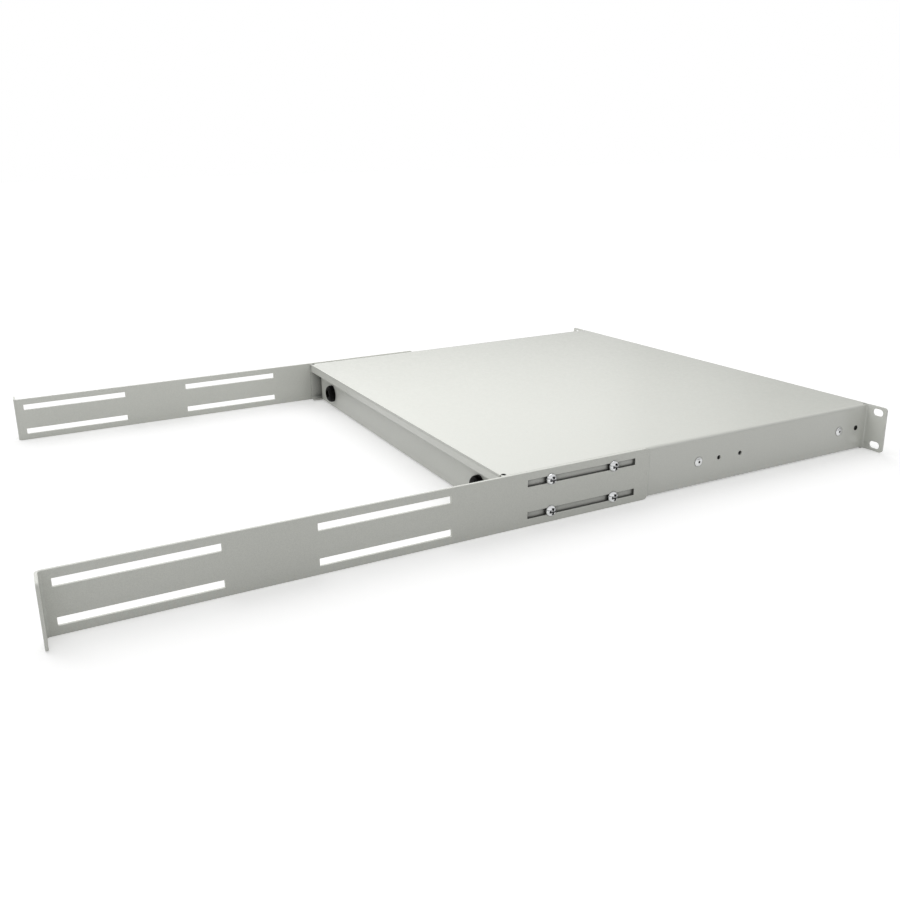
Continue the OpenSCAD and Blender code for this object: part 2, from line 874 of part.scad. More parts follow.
module tray_screws(side) {
    head_x = -tray_half_w - slide_sheet;
    shank = slide_sheet + tray_sheet + hex_nut_h;
    color("silver")
        on_side(side)
            for (y = tray_screw_ys)
                translate([head_x, y, 0]) {
                    cross_head(tray_head_d, tray_head_h);
                    x_pin(0, 0, 0, tray_screw_d / 2, shank);
                }
}

module tray_nuts(side) {
    color("silver")
        on_side(side)
            for (y = tray_screw_ys)
                translate([tray_sheet - tray_half_w, y, 0])
                    rotate([0, 90, 0])
                        hex_nut(tray_screw_d);
}

// Rubber collar that lines a cable hole, rounded towards the rear.
module cable_grommet(x) {
    round_r = (grommet_d - grommet_bore_d) / 2 - fit_gap;
    color([0.05, 0.05, 0.05])
        translate([x, tray_rear_y, -grommet_drop])
            rotate([-90, 0, 0])
                rotate_extrude($fn = fine_fn)
                    difference() {
                        union() {
                            square([grommet_d / 2, grommet_rear_h - round_r]);
                            square([grommet_d / 2 - round_r, grommet_rear_h]);
                            translate([grommet_d / 2 - round_r, grommet_rear_h - round_r])
                                ring_arc(0, round_r, 0, 90);
                            translate([0, -tray_sheet])
                                square([grommet_hole_d / 2 - fit_gap, tray_sheet]);
                            translate([0, -tray_sheet - grommet_inner_h])
                                square([grommet_d / 2, grommet_inner_h]);
                        }
                        translate([0, -tray_sheet - grommet_inner_h - cut_over])
                            square([
                                grommet_bore_d / 2,
                                grommet_rear_h + tray_sheet + grommet_inner_h + 2 * cut_over
                            ]);
                    }
}

housing_shell();
slide_outer("left");  // left_slide_outer
slide_outer("right");  // right_slide_outer
slide_rivets("left");  // left_slide_rivets
slide_rivets("right");  // right_slide_rivets
slide_bumper("left");  // left_slide_bumper
slide_bumper("right");  // right_slide_bumper
clinch_nuts("left");  // left_clinch_nuts
clinch_nuts("right");  // right_clinch_nuts
bracket_screws("left");  // left_bracket_screws
bracket_screws("right");  // right_bracket_screws
rear_bracket("left");  // left_rear_bracket
rear_bracket("right");  // right_rear_bracket
slide_middle("left");  // left_slide_middle
slide_middle("right");  // right_slide_middle
ball_cage("left", outer_cage_y, outer_cage_u, outer_ball_v);  // left_outer_cage
ball_cage("right", outer_cage_y, outer_cage_u, outer_ball_v);  // right_outer_cage
ball_rows("left", outer_cage_y, outer_ball_v);  // left_outer_balls
ball_rows("right", outer_cage_y, outer_ball_v);  // right_outer_balls
ball_cage("left", inner_cage_y, inner_cage_u, inner_ball_v);  // left_inner_cage
ball_cage("right", inner_cage_y, inner_cage_u, inner_ball_v);  // right_inner_cage
ball_rows("left", inner_cage_y, inner_ball_v);  // left_inner_balls
ball_rows("right", inner_cage_y, inner_ball_v);  // right_inner_balls
drawer_tray();
drawer_front();
front_nuts();
slide_inner("left");  // left_slide_inner
slide_inner("right");  // right_slide_inner
tray_screws("left");  // left_tray_screws
tray_screws("right");  // right_tray_screws
tray_nuts("left");  // left_tray_nuts
tray_nuts("right");  // right_tray_nuts
cable_grommet(-grommet_x);  // left_cable_grommet
cable_grommet(grommet_x);  // right_cable_grommet
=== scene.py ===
"""Looks of the rack keyboard drawer: its finishes, its small hardware, the studio and the camera.

Everything is in metres in the part's own frame: +X runs to the right seen from the front,
+Y to the rear and +Z up, from the centre of the front hole pattern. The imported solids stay
where they are and take a finish; the screws, rivets, nuts and cable collars are drawn again
as fine surfaces over the solids that they stand for.
"""

import logging
from dataclasses import dataclass, field, replace
from enum import Enum
from typing import Sequence

import bmesh
import bpy
import numpy as np
from mathutils import Matrix, Vector


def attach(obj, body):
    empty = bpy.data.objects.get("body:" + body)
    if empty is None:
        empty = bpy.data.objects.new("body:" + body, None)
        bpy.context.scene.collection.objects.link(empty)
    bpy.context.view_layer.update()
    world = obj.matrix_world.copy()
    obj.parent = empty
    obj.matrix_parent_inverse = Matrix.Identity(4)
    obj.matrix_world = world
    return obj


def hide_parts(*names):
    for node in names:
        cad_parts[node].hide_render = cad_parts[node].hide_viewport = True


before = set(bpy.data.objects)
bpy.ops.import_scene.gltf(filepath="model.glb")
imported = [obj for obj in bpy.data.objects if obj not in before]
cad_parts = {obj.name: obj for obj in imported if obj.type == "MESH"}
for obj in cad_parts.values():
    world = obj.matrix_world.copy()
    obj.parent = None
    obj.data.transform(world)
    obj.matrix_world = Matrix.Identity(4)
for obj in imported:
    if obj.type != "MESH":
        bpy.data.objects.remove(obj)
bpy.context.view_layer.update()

LOG = logging.getLogger("rack_keyboard_drawer")
MM = 0.001

Socket = bpy.types.NodeSocket
Pair = tuple[float, float]
Point = tuple[float, float, float]
Colour = tuple[float, float, float]

# Places that the finishes and the hardware share
HALF_W = 221.0 * MM
RIVET_Y = (35.4 * MM, 206.5 * MM)
SLOT_ROW_Z = 13.1 * MM


# Shared choices and small tools


class Side(Enum):
    """The two mirrored halves of the drawer, named as the rack's user sees them."""

    LEFT = "left"
    RIGHT = "right"

    @property
    def sign(self) -> float:
        """Direction of this side along X."""
        return -1.0 if self is Side.LEFT else 1.0

    def node(self, name: str) -> str:
        """Name of this side's node."""
        return f"{self.value}_{name}"


class Grain(Enum):
    """How the fine marks of a metal finish run: cells per metre along X, Y and Z."""

    ALONG_SLIDE = (900.0, 14.0, 900.0)
    AROUND = (600.0, 600.0, 600.0)
    NONE = (250.0, 250.0, 250.0)


def smooth_step(low: float, high: float, x: np.ndarray) -> np.ndarray:
    """Rises from 0 at low to 1 at high.

    With t = (x - low) / (high - low) held between 0 and 1, the value is t squared times
    (3 minus 2 t).

    Args:
        low: Where the rise starts.
        high: Where the rise ends.
        x: The values to map.

    Returns:
        The mapped values.
    """
    t = np.clip((x - low) / (high - low), 0.0, 1.0)
    return t * t * (3.0 - 2.0 * t)


# Surfaces


@dataclass
class Surface:
    """A surface of two parameters that becomes a mesh piece.

    It is a grid of points, rows by columns by 3, in metres. Where it is closed, its last row
    or column joins the first one.
    """

    points: np.ndarray
    closed_rows: bool = False
    closed_cols: bool = True

    def faces(self) -> np.ndarray:
        """Quads between neighbouring rows and columns.

        Returns:
            Array of quads by 4 indices into the flattened grid.
        """
        rows, cols = self.points.shape[:2]
        r = np.arange(rows if self.closed_rows else rows - 1)
        c = np.arange(cols if self.closed_cols else cols - 1)
        a, b = np.meshgrid(r, c, indexing="ij")
        below, right = (a + 1) % rows, (b + 1) % cols
        quads = np.stack([a * cols + b, a * cols + right, below * cols + right, below * cols + b], -1)
        return quads.reshape(-1, 4)

    def moved(self, matrix: np.ndarray) -> "Surface":
        """The same surface carried by a 4 by 4 matrix.

        Each point p becomes the matrix's turn applied to p, plus its shift.

        Args:
            matrix: The placement.

        Returns:
            The placed surface.
        """
        return replace(self, points=self.points @ matrix[:3, :3].T + matrix[:3, 3])


def build_piece(name: str, surfaces: Sequence[Surface], sharp_degrees: float = 32.0) -> bpy.types.Object:
    """Joins surfaces into one mesh piece with closed poles and outward faces.

    Args:
        name: The piece's name.
        surfaces: The surfaces that make it.
        sharp_degrees: Edges that turn by more than this stay sharp in the shading.

    Returns:
        The new object, at the origin.
    """
    counts = np.cumsum([0] + [s.points.shape[0] * s.points.shape[1] for s in surfaces])
    verts = np.concatenate([s.points.reshape(-1, 3) for s in surfaces])
    quads = np.concatenate([s.faces() + start for s, start in zip(surfaces, counts)])
    verts, index = weld(verts)
    quads = drop_flat(index[quads])
    mesh = bpy.data.meshes.new(name)
    mesh.from_pydata(verts.tolist(), [], quads)
    mesh.validate()
    mesh.polygons.foreach_set("use_smooth", np.ones(len(mesh.polygons), dtype=bool))
    piece = bpy.data.objects.new(name, mesh)
    bpy.context.scene.collection.objects.link(piece)
    turn_outward(mesh)
    mesh.set_sharp_from_angle(angle=np.radians(sharp_degrees))
    return piece


def weld(verts: np.ndarray, grid: float = 2e-7) -> tuple[np.ndarray, np.ndarray]:
    """Merges points that lie in the same cell of a fine grid, which closes poles and seams.

    Args:
        verts: Points by 3.
        grid: Size of a cell in metres.

    Returns:
        The points kept, and for each old point the index of the one that stands for it.
    """
    keys = np.round(verts / grid).astype(np.int64)
    _, first, index = np.unique(keys, axis=0, return_index=True, return_inverse=True)
    return verts[first], index.reshape(-1)


def drop_flat(quads: np.ndarray) -> list[list[int]]:
    """Leaves out corners that welding has joined, and faces with under three corners.

    Args:
        quads: Quads by 4 indices.

    Returns:
        The faces as lists of indices.
    """
    same = quads == np.roll(quads, 1, axis=1)
    whole = ~same.any(axis=1)
    faces = quads[whole].tolist()
    for quad, repeat in zip(quads[~whole].tolist(), same[~whole].tolist()):
        corners = [v for v, again in zip(quad, repeat) if not again]
        if len(set(corners)) > 2:
            faces.append(corners)
    return faces


def turn_outward(mesh: bpy.types.Mesh) -> None:
    """Makes the faces of closed shells point outwards.

    Args:
        mesh: The mesh, changed in place.
    """
    shell = bmesh.new()
    shell.from_mesh(mesh)
    bmesh.ops.recalc_face_normals(shell, faces=shell.faces[:])
    shell.to_mesh(mesh)
    shell.free()
    mesh.update()


def placement(origin: Sequence[float], axis: Sequence[float]) -> np.ndarray:
    """Matrix that puts the local +Z on an axis, with the local origin at a point.

    The turn's columns are two directions square to the axis, and the axis itself.

    Args:
        origin: Where the local origin goes.
        axis: Where the local +Z points.

    Returns:
        The 4 by 4 matrix.
    """
    z = np.array(axis, float) / np.linalg.norm(axis)
    hint = np.array([0.0, 0.0, 1.0]) if abs(z[2]) < 0.9 else np.array([0.0, 1.0, 0.0])
    x = np.cross(hint, z)
    x /= np.linalg.norm(x)
    matrix = np.eye(4)
    matrix[:3, 0], matrix[:3, 1], matrix[:3, 2] = x, np.cross(z, x), z
    matrix[:3, 3] = origin
    return matrix


def around(radius: object, angle: np.ndarray, height: object) -> np.ndarray:
    """Points (r cos a, r sin a, h) of radii, angles and heights spread over one another."""
    return np.stack(np.broadcast_arrays(radius * np.cos(angle), radius * np.sin(angle), height), -1)


def turned(profile: Sequence[Pair], segments: int = 96, closed: bool = False) -> Surface:
    """Surface of revolution about the local Z axis.

    Args:
        profile: Pairs of radius and height, in metres.
        segments: Number of columns round the axis.
        closed: Whether the profile is a closed ring.

    Returns:
        The surface.
    """
    ring = np.array(profile, float)
    angle = np.linspace(0.0, 2.0 * np.pi, segments, endpoint=False)
    return Surface(around(ring[:, :1], angle, ring[:, 1:]), closed_rows=closed)


def arc(centre: Pair, radius: float, start: float, end: float, steps: int) -> list[Pair]:
    """Points of an arc: the centre plus the radius times (cos a, sin a).

    Args:
        centre: Centre of the arc.
        radius: Its radius.
        start: First angle in degrees.
        end: Last angle in degrees.
        steps: Number of points.

    Returns:
        The points, both ends included.
    """
    a = np.radians(np.linspace(start, end, steps))
    return list(zip((centre[0] + radius * np.cos(a)).tolist(), (centre[1] + radius * np.sin(a)).tolist()))


# Finishes: scales in cells per metre, depths and reaches in metres


def tints(colour: Colour, *factors: float) -> list[Colour]:
    """The colour times each factor, held at 1."""
    return [tuple(min(part * factor, 1.0) for part in colour) for factor in factors]


class NodeTools:
    """Adds nodes to a tree, links them and does sums in them."""

    def __init__(self, tree: bpy.types.NodeTree) -> None:
        """Keeps the tree and empties it."""
        self.tree = tree
        self.tree.nodes.clear()

    def feed(self, node: bpy.types.Node, inputs: dict[str | int, object]) -> None:
        """Gives a node's inputs what they take.

        Args:
            node: The node.
            inputs: Sockets to link, colours or numbers, by the input's name or number.
        """
        for key, value in inputs.items():
            socket = node.inputs[key]
            if isinstance(value, Socket):
                self.tree.links.new(value, socket)
            else:
                socket.default_value = (*value, 1.0) if socket.type == "RGBA" else value

    def add(self, kind: str, inputs: dict[str | int, object] | None = None,
            **settings: object) -> bpy.types.Node:
        """Adds a node.

        Args:
            kind: The node's type.
            inputs: Sockets to link, colours or numbers, by the input's name or number.
            settings: Its properties by name.

        Returns:
            The node.
        """
        node = self.tree.nodes.new(kind)
        for key, value in settings.items():
            setattr(node, key, value)
        self.feed(node, inputs or {})
        return node

    def maths(self, operation: str, *values: object) -> Socket:
        """Works out one sum from sockets and numbers."""
        return self.add("ShaderNodeMath", dict(enumerate(values)), operation=operation).outputs[0]

    def spread(self, vector: Socket) -> bpy.types.NodeOutputs:
        """Takes a vector apart into its X, Y and Z."""
        return self.add("ShaderNodeSeparateXYZ", {0: vector}).outputs


class NodeBoard(NodeTools):
    """Builds the node tree of one material."""

    def __init__(self, name: str) -> None:
        """Starts an empty material with an output and a Principled shader.

        Args:
            name: Name of the material.
        """
        self.material = bpy.data.materials.new(name)
        self.material.use_nodes = True
        super().__init__(self.material.node_tree)
        self.shader = self.add("ShaderNodeBsdfPrincipled")
        self.add("ShaderNodeOutputMaterial", {"Surface": self.shader.outputs["BSDF"]})
        self.place = self.add("ShaderNodeTexCoord").outputs["Object"]

    def noise(self, scale: float, detail: float = 3.0, rough: float = 0.5,
              stretch: Sequence[float] | None = None) -> Socket:
        """Noise value over the object.

        Args:
            scale: Cells per metre.
            detail: Number of finer layers.
            rough: Strength of the finer layers.
            stretch: Optional scale of the coordinates along X, Y and Z.

        Returns:
            The noise's value socket.
        """
        place = self.place
        if stretch:
            place = self.add("ShaderNodeMapping", {"Vector": place, "Scale": stretch}).outputs["Vector"]
        return self.add("ShaderNodeTexNoise", {
            "Vector": place, "Scale": scale, "Detail": detail, "Roughness": rough}).outputs["Fac"]

    def ranged(self, value: Socket, low: float, high: float,
               from_low: float = 0.3, from_high: float = 0.7) -> Socket:
        """Maps a value linearly from one range to another, held inside the new one.

        Args:
            value: The socket to map.
            low: Result at from_low.
            high: Result at from_high.
            from_low: Start of the old range.
            from_high: End of the old range.

        Returns:
            The mapped value's socket.
        """
        return self.add("ShaderNodeMapRange", {
            "Value": value, "From Min": from_low, "From Max": from_high,
            "To Min": low, "To Max": high}).outputs["Result"]

    def mixed(self, share: object, first: object, second: object) -> Socket:
        """Colour between two colours or sockets by a share.

        Args:
            share: How much of the second colour shows, from 0 to 1, as a socket or a number.
            first: Colour or socket at 0.
            second: Colour or socket at 1.

        Returns:
            The mixed colour's socket.
        """
        return self.add("ShaderNodeMix", {0: share, 6: first, 7: second}, data_type="RGBA").outputs[2]

    def bumped(self, heights: Sequence[tuple[Socket, float]], base: Socket | None = None) -> None:
        """Stacks bumps and feeds them to the shader.

        Args:
            heights: Pairs of a height socket and its depth in metres.
            base: Optional normal that the first bump starts from.
        """
        normal = base
        for height, depth in heights:
            bump = self.add("ShaderNodeBump", {"Strength": 1.0, "Distance": depth, "Height": height})
            if normal is not None:
                self.feed(bump, {"Normal": normal})
            normal = bump.outputs["Normal"]
        self.feed(self.shader, {"Normal": normal})

    def edge_mask(self, radius: float) -> tuple[Socket, Socket]:
        """Finds folded and cut edges.

        The mask is 1 minus the dot product of the flat normal and the one rounded over
        radius, so it is 0 on flats and grows towards an edge.

        Args:
            radius: Reach of the rounding in metres.

        Returns:
            The mask's socket and the rounded normal's socket.
        """
        rounded = self.add("ShaderNodeBevel", {"Radius": radius}, samples=4).outputs["Normal"]
        flat = self.add("ShaderNodeNewGeometry").outputs["Normal"]
        dot = self.add("ShaderNodeVectorMath", {0: rounded, 1: flat}, operation="DOT_PRODUCT")
        return self.maths("SUBTRACT", 1.0, dot.outputs["Value"]), rounded

    def openness(self, reach: float) -> Socket:
        """How open a point lies: 1 where nothing is within reach, towards 0 in gaps."""
        return self.add("ShaderNodeAmbientOcclusion", {"Distance": reach}, samples=8).outputs["AO"]


@dataclass(frozen=True)
class CreviceShade:
    """Painted shade in gaps and recesses: the colour darkens where little is open within reach."""

    reach: float = 5.0 * MM
    full: float = 0.15
    none: float = 0.48
    depth: float = 0.9
    within_x: float | None = None

    def share(self, board: NodeBoard) -> Socket:
        """How much of the painted shade shows: from depth where openness is at full, to 0 at none.

        With within_x set, it shows only nearer to the middle plane than that.

        Args:
            board: The material's node tree.

        Returns:
            The share's socket.
        """
        share = board.ranged(board.openness(self.reach), self.depth, 0.0, self.full, self.none)
        if self.within_x is None:
            return share
        across = board.maths("ABSOLUTE", board.spread(board.place)[0])
        return board.maths("MULTIPLY", share, board.maths("LESS_THAN", across, self.within_x))


@dataclass(frozen=True)
class Lap:
    """The flat area that another sheet covers, darkened by painted shade."""

    from_x: float
    from_y: float
    crevice_shade: CreviceShade = CreviceShade(reach=6.0 * MM, full=0.48, none=0.92, depth=0.8)

    def share(self, board: NodeBoard) -> Socket:
        """The painted shade's share inside the area, and 0 outside it.

        Args:
            board: The material's node tree.

        Returns:
            The share's socket.
        """
        x, y, _ = board.spread(board.place)
        outward = board.maths("GREATER_THAN", board.maths("ABSOLUTE", x), self.from_x)
        inside = board.maths("MULTIPLY", outward, board.maths("GREATER_THAN", y, self.from_y))
        return board.maths("MULTIPLY", inside, self.crevice_shade.share(board))


@dataclass(frozen=True)
class CutRows:
    """Rows of slots whose cut faces lie in shade where another sheet closes them."""

    row_z: float
    half_h: float
    closed_y: float
    depth: float = 0.8
    turned_by: float = 0.5

    def share(self, board: NodeBoard) -> Socket:
        """The dark's share on faces square to the sheet, in the closed part of the rows only.

        A face counts when the X of its normal is under turned_by, its height lies within
        half_h of row_z above or below the middle, and it lies in front of closed_y.

        Args:
            board: The material's node tree.

        Returns:
            The share's socket.
        """
        _, y, z = board.spread(board.place)
        across, _, _ = board.spread(board.add("ShaderNodeNewGeometry").outputs["True Normal"])
        cut = board.maths("LESS_THAN", board.maths("ABSOLUTE", across), self.turned_by)
        away = board.maths("ABSOLUTE", board.maths("SUBTRACT", board.maths("ABSOLUTE", z), self.row_z))
        in_row = board.maths("LESS_THAN", away, self.half_h)
        closed = board.maths("MULTIPLY", board.maths("LESS_THAN", y, self.closed_y), self.depth)
        return board.maths("MULTIPLY", board.maths("MULTIPLY", cut, in_row), closed)


@dataclass(frozen=True)
class ShadeSpot:
    """A painted dark spot of shade round a point, the same on the left and the right."""

    centre: Point
    radius: float
    depth: float = 0.95
    core: float = 0.8

    def share(self, board: NodeBoard) -> Socket:
        """The painted shade's share: depth in the core's share of the radius, and 0 from the radius on.

        Args:
            board: The material's node tree.

        Returns:
            The share's socket.
        """
        x, y, z = board.spread(board.place)
        mirrored = board.add("ShaderNodeCombineXYZ", {0: board.maths("ABSOLUTE", x), 1: y, 2: z})
        away = board.add("ShaderNodeVectorMath", {0: mirrored.outputs[0], 1: self.centre},
                         operation="DISTANCE")
        return board.ranged(away.outputs["Value"], self.depth, 0.0, self.core * self.radius, self.radius)


@dataclass(frozen=True)
class Finish:
    """What every finish has: a name, a colour, and a roughness that wanders down and up."""

    name: str
    colour: Colour
    roughness: float
    smoother: float
    rougher: float

    def wander(self, board: NodeBoard, pattern: Socket) -> Socket:
        """The roughness over a pattern."""
        return board.ranged(pattern, self.roughness - self.smoother, self.roughness + self.rougher)


@dataclass(frozen=True)
class PowderCoat(Finish):
    """Baked powder paint with a fine orange peel, a faint fleck and a painted highlight that lightens its
    edges.
    """

    roughness: float = 0.22
    smoother: float = 0.03
    rougher: float = 0.05
    ior: float = 1.5
    peel_depth: float = 0.006 * MM
    coarse_peel: float = 420.0
    fine_peel: float = 1700.0
    fleck: float = 0.05
    fleck_scale: float = 1500.0
    cloud: float = 0.015
    cloud_scale: float = 9.0
    cloud_share: float = 0.35
    gloss_scale: float = 260.0
    edge_reach: float = 0.6 * MM
    edge_lift: float = 0.10
    edge_mask: Pair = (0.01, 0.15)
    dark: tuple[CreviceShade | Lap | CutRows | ShadeSpot, ...] = (CreviceShade(),)
    # Near-black colour of the painted shade
    shade_colour: Colour = (0.016, 0.016, 0.014)

    def material(self) -> bpy.types.Material:
        """Builds the material.

        Returns:
            The material.
        """
        board = NodeBoard(self.name)
        fleck = board.ranged(board.noise(self.fleck_scale, 2.0, 0.7), 0.0, 1.0, 0.35, 0.65)
        cloud = board.ranged(board.noise(self.cloud_scale, 3.0), 0.0, 1.0)
        tone = board.mixed(fleck, *tints(self.colour, 1.0 - self.fleck, 1.0 + 0.6 * self.fleck))
        tint = board.mixed(cloud, *tints(self.colour, 1.0 - self.cloud, 1.0 + self.cloud))
        mask, rounded = board.edge_mask(self.edge_reach)
        # Painted highlight: folded and cut edges take a colour lifted by edge_lift
        edge_highlight = board.ranged(mask, 0.0, 1.0, *self.edge_mask)
        paint = board.mixed(self.cloud_share, tone, tint)
        colour = board.mixed(edge_highlight, paint, *tints(self.colour, 1.0 + self.edge_lift))
        # Painted shade: each dark mark mixes the colour towards the near-black shade colour
        for kind in self.dark:
            colour = board.mixed(kind.share(board), colour, self.shade_colour)
        board.feed(board.shader, {
            "Base Color": colour, "IOR": self.ior,
            "Roughness": self.wander(board, board.noise(self.gloss_scale, 3.0))})
        board.bumped([
            (board.noise(self.coarse_peel, 1.5, 0.4), self.peel_depth * 2.0),
            (board.noise(self.fine_peel, 2.0, 0.6), self.peel_depth),
        ], rounded)
        return board.material


@dataclass(frozen=True)
class PlatedSteel(Finish):
    """Plated or bare metal with fine drawing marks and slight blotches in the plating."""

    roughness: float = 0.3
    smoother: float = 0.07
    rougher: float = 0.1
    grain: Grain = Grain.ALONG_SLIDE
    mark_depth: float = 0.006 * MM
    blotch_scale: float = 70.0
    blotch_tones: Pair = (0.88, 1.05)
    edge_reach: float = 0.3 * MM
    dark: CreviceShade | None = None
    # Near-black colour of the painted shade
    shade_colour: Colour = (0.01, 0.01, 0.01)

    def material(self) -> bpy.types.Material:
        """Builds the material.

        Returns:
            The material.
        """
        board = NodeBoard(self.name)
        blotch = board.ranged(board.noise(self.blotch_scale, 4.0, 0.6), 0.0, 1.0)
        colour = board.mixed(blotch, *tints(self.colour, *self.blotch_tones))
        # Painted shade: gaps and recesses mix towards the near-black shade colour
        if self.dark:
            colour = board.mixed(self.dark.share(board), colour, self.shade_colour)
        marks = board.noise(1.0, 2.0, 0.5, self.grain.value)
        board.feed(board.shader, {
            "Base Color": colour, "Metallic": 1.0, "Roughness": self.wander(board, marks)})
        board.bumped([(marks, self.mark_depth)], board.edge_mask(self.edge_reach)[1])
        return board.material


@dataclass(frozen=True)
class Moulding(Finish):
    """Moulded rubber or plastic with a fine spark texture and a slight bloom."""

    roughness: float = 0.42
    smoother: float = 0.06
    rougher: float = 0.1
    texture_depth: float = 0.008 * MM
    texture_scale: float = 1400.0
    bloom_scale: float = 160.0
    gloss_scale: float = 500.0
    gloss: float = 0.22

    def material(self) -> bpy.types.Material:
        """Builds the material.

        Returns:
            The material.
        """
        board = NodeBoard(self.name)
        bloom = board.ranged(board.noise(self.bloom_scale, 4.0, 0.6), 0.0, 1.0)
        pale = tuple(1.6 * part + 0.001 for part in self.colour)
        board.feed(board.shader, {
            "Base Color": board.mixed(bloom, *tints(self.colour, 0.8), pale),
            "Roughness": self.wander(board, board.noise(self.gloss_scale, 3.0)),
            "Specular IOR Level": self.gloss})
        board.bumped([(board.noise(self.texture_scale, 2.0), self.texture_depth)])
        return board.material


class Paintshop:
    """All finishes of the drawer, each built once."""

    def __init__(self) -> None:
        """Mixes every finish."""
        grey = (0.614, 0.623, 0.582)
        # The housing's dark marks are painted shade: in gaps, deep inside near the side walls, on the
        # wall seen through the bracket slots, in a corner relief hole and a spare hole, and as a shadow
        # round each rivet
        self.housing = PowderCoat("housing powder coat", grey, dark=(
            CreviceShade(none=0.38), CreviceShade(reach=30.0 * MM, full=0.22, none=0.56, within_x=219.8 * MM),
            Lap(from_x=220.5 * MM, from_y=262.0 * MM),
            ShadeSpot(centre=(216.5 * MM, 397.0 * MM, 20.9 * MM), radius=2.4 * MM),
            ShadeSpot(centre=(220.6 * MM, 12.7 * MM, 0.0), radius=2.8 * MM, depth=0.97),
            *(ShadeSpot(centre=(HALF_W, y, 0.0), radius=5.2 * MM, depth=0.3) for y in RIVET_Y))).material()
        # The tray's dark marks are painted shade in gaps and along the rear wall under the lip
        self.tray = PowderCoat(
            "tray powder coat", (0.604, 0.613, 0.572), roughness=0.34, peel_depth=0.004 * MM,
            dark=(CreviceShade(), CreviceShade(reach=8.0 * MM, full=0.3, none=0.72, depth=0.5))).material()
        self.front = PowderCoat("front powder coat", grey).material()
        # The bracket takes a painted highlight on its edges and painted shade in gaps and in the closed
        # slots' cut faces
        self.bracket = PowderCoat(
            "bracket powder coat", (0.596, 0.605, 0.562), roughness=0.34, fleck=0.10,
            peel_depth=0.012 * MM, edge_reach=0.9 * MM, edge_lift=0.5,
            dark=(CreviceShade(none=0.3), CutRows(row_z=SLOT_ROW_Z, half_h=3.2 * MM, closed_y=398.0 * MM))
        ).material()
        # The slides and cages take painted shade in gaps
        self.slide = PlatedSteel("slide zinc", (0.62, 0.64, 0.66), dark=CreviceShade()).material()
        self.cage = PlatedSteel("cage strip", (0.46, 0.47, 0.49), roughness=0.38, dark=CreviceShade()).material()
        self.ball = PlatedSteel("ball steel", (0.74, 0.75, 0.77), roughness=0.12, grain=Grain.NONE,
                                mark_depth=0.001 * MM).material()
        # The screws take painted shade in their recesses and under their heads
        self.screw = PlatedSteel("screw nickel", (0.80, 0.81, 0.82), roughness=0.14,
                                 grain=Grain.AROUND, mark_depth=0.002 * MM,
                                 dark=CreviceShade(reach=3.5 * MM, full=0.4, none=0.82, depth=1.0)).material()
        self.nut = PlatedSteel("nut zinc", (0.60, 0.62, 0.65), grain=Grain.AROUND).material()
        # The rivets take painted shade in their pits and round their edges
        self.rivet = PlatedSteel(
            "rivet aluminium", (0.80, 0.81, 0.81), roughness=0.34, grain=Grain.AROUND,
            dark=CreviceShade(reach=2.5 * MM, full=0.3, none=0.68, depth=1.0)).material()
        self.rubber = Moulding("grommet rubber", (0.0015, 0.0015, 0.0015), gloss=0.07).material()
        self.bumper = Moulding("bumper plastic", (0.02, 0.02, 0.021), roughness=0.5).material()


def coat_node(name: str, material: bpy.types.Material) -> None:
    """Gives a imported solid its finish.

    Args:
        name: The node's name.
        material: The finish.
    """
    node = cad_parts[name]
    if not node.material_slots:
        node.data.materials.append(material)
    for slot in node.material_slots:
        slot.material = material
    LOG.info("coated %s with %s", name, material.name)


def settle(name: str, surfaces: Sequence[Surface], material: bpy.types.Material, body: str,
           nodes: Sequence[str]) -> None:
    """Builds a piece and ties it to the body and the nodes that it stands for.

    Args:
        name: The piece's name.
        surfaces: The surfaces that make it.
        material: Its finish.
        body: The body that it moves with.
        nodes: The nodes that it stands for.
    """
    piece = build_piece(name, surfaces)
    piece.data.materials.append(material)
    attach(piece, body)
    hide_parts(*nodes)
    LOG.info("built %s: %d faces, on %s", piece.name, len(piece.data.polygons), body)


# Small hardware


